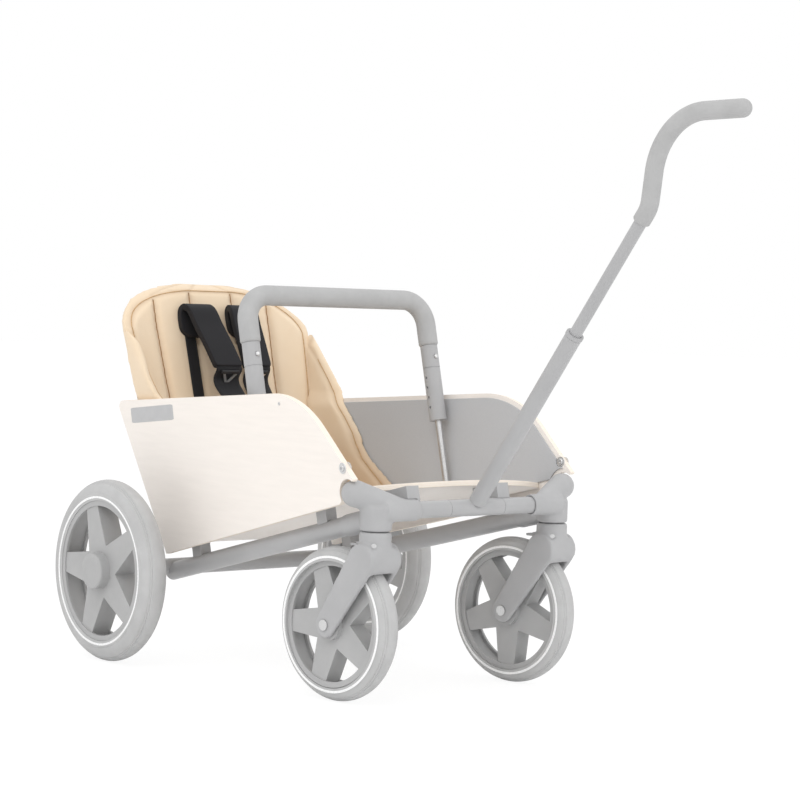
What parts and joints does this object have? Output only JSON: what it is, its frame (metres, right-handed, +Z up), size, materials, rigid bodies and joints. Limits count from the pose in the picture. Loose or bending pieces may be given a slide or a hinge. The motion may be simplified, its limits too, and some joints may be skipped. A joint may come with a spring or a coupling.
{
  "type": "stroller wagon",
  "caption": "Four-wheeled stroller wagon: plywood box with a padded bucket seat, harness, sliding grab bar, swivel casters and a telescopic pull handle.",
  "frame": {"origin": "on the ground under the middle of the whole part at rest", "axes": "+X towards the pull handle, +Y to the wagon's left side, +Z up"},
  "size_m": [1.3654, 0.678, 0.9499],
  "materials": {
    "frame_paint": "satin pale grey",
    "grey_plastic": "satin",
    "wheel_plastic": "satin",
    "tyre": "matte foam rubber",
    "white_ring": "gloss",
    "steel": "brushed",
    "plywood": "cream lacquer, beige edges",
    "felt": "short felt",
    "foam": "fine-grained foam",
    "seat_cover": "soft quilted cover, sewn channels",
    "harness_cloth": "woven",
    "black_plastic": "satin"
  },
  "bodies": {
    "chassis": {"front_tube_right": "frame_paint", "front_tube_left": "frame_paint", "handle_pivot_shaft": "steel", "corner_joint_right": "grey_plastic", "corner_joint_left": "grey_plastic", "side_rail_right": "frame_paint", "side_rail_left": "frame_paint", "rear_axle_beam": "frame_paint", "rear_axle_shaft": "steel", "floor_clips": "grey_plastic", "floor_panel": "plywood", "side_panel_right": "plywood", "side_panel_left": "plywood", "rear_panel": "plywood", "felt_liner_right": "felt", "felt_liner_left": "felt", "panel_bolts": "steel", "bar_rods": "steel", "seat_back": "seat_cover", "seat_base": "seat_cover", "seat_wing_right": "seat_cover", "seat_wing_left": "seat_cover", "harness_pads": "harness_cloth", "harness_webbing": "harness_cloth", "harness_hardware": "black_plastic"},
    "grab_bar": {"bar_tube": "frame_paint", "bar_foam": "foam", "leg_sleeves": "grey_plastic"},
    "pull_handle": {"handle_lower_tube": "frame_paint", "handle_collar": "grey_plastic"},
    "handle_slider": {"handle_upper_tube": "frame_paint", "handle_grip": "foam"},
    "rear_wheel_right": {"rear_rim_right": "wheel_plastic", "rear_tyre_right": "tyre", "rear_rings_right": "white_ring", "rear_bearings_right": "steel", "rear_hub_cap_right": "wheel_plastic"},
    "caster_right": {"caster_fork_right": "grey_plastic", "caster_stem_right": "steel", "caster_bolts_right": "steel"},
    "front_wheel_right": {"front_rim_right": "wheel_plastic", "front_tyre_right": "tyre", "front_rings_right": "white_ring", "front_bearings_right": "steel"},
    "swivel_lock_right": {"swivel_lock_right": "grey_plastic"},
    "bar_button_right": {"bar_button_right": "steel"},
    "rear_wheel_left": {"rear_rim_left": "wheel_plastic", "rear_tyre_left": "tyre", "rear_rings_left": "white_ring", "rear_bearings_left": "steel", "rear_hub_cap_left": "wheel_plastic"},
    "caster_left": {"caster_fork_left": "grey_plastic", "caster_stem_left": "steel", "caster_bolts_left": "steel"},
    "front_wheel_left": {"front_rim_left": "wheel_plastic", "front_tyre_left": "tyre", "front_rings_left": "white_ring", "front_bearings_left": "steel"},
    "swivel_lock_left": {"swivel_lock_left": "grey_plastic"},
    "bar_button_left": {"bar_button_left": "steel"}
  },
  "joints": [
    {"name": "rear_spin_right", "type": "hinge", "parent": "chassis", "child": "rear_wheel_right", "pos_m": [-0.50787, -0.3, 0.16], "axis": [0, 1, 0], "continuous": true},
    {"name": "caster_swivel_right", "type": "hinge", "parent": "chassis", "child": "caster_right", "pos_m": [0.10013, -0.193, 0.281], "axis": [0, 0, 1], "continuous": true},
    {"name": "front_spin_right", "type": "hinge", "parent": "caster_right", "child": "front_wheel_right", "pos_m": [0.02355, -0.20105, 0.125], "axis": [-0.1045, 0.9945, 0], "continuous": true},
    {"name": "swivel_lock_press_right", "type": "hinge", "parent": "caster_right", "child": "swivel_lock_right", "pos_m": [0.0693, -0.19624, 0.257], "axis": [-0.1045, 0.9945, 0], "range_deg": [0, 16]},
    {"name": "rear_spin_left", "type": "hinge", "parent": "chassis", "child": "rear_wheel_left", "pos_m": [-0.50787, 0.3, 0.16], "axis": [0, 1, 0], "continuous": true},
    {"name": "caster_swivel_left", "type": "hinge", "parent": "chassis", "child": "caster_left", "pos_m": [0.10013, 0.193, 0.281], "axis": [0, 0, 1], "continuous": true},
    {"name": "front_spin_left", "type": "hinge", "parent": "caster_left", "child": "front_wheel_left", "pos_m": [0.02408, 0.18096, 0.125], "axis": [-0.1564, 0.9877, 0], "continuous": true},
    {"name": "swivel_lock_press_left", "type": "hinge", "parent": "caster_left", "child": "swivel_lock_left", "pos_m": [0.06951, 0.18815, 0.257], "axis": [-0.1564, 0.9877, 0], "range_deg": [0, 16]},
    {"name": "handle_pivot", "type": "hinge", "parent": "chassis", "child": "pull_handle", "pos_m": [0.11613, 0, 0.314], "axis": [0, 1, 0], "range_deg": [-28, 40]},
    {"name": "handle_telescope", "type": "slide", "parent": "pull_handle", "child": "handle_slider", "axis": [0.6129, 0, 0.7902], "range_m": [-0.2, 0]},
    {"name": "grab_bar_height", "type": "slide", "parent": "chassis", "child": "grab_bar", "axis": [-0.2396, 0, 0.9709], "range_m": [-0.056, 0.02]},
    {"name": "bar_button_press_right", "type": "slide", "parent": "grab_bar", "child": "bar_button_right", "axis": [-0.9709, 0, -0.2396], "range_m": [0, 0.003], "stiffness_N_per_m": 300},
    {"name": "bar_button_press_left", "type": "slide", "parent": "grab_bar", "child": "bar_button_left", "axis": [-0.9709, 0, -0.2396], "range_m": [0, 0.003], "stiffness_N_per_m": 300}
  ]
}
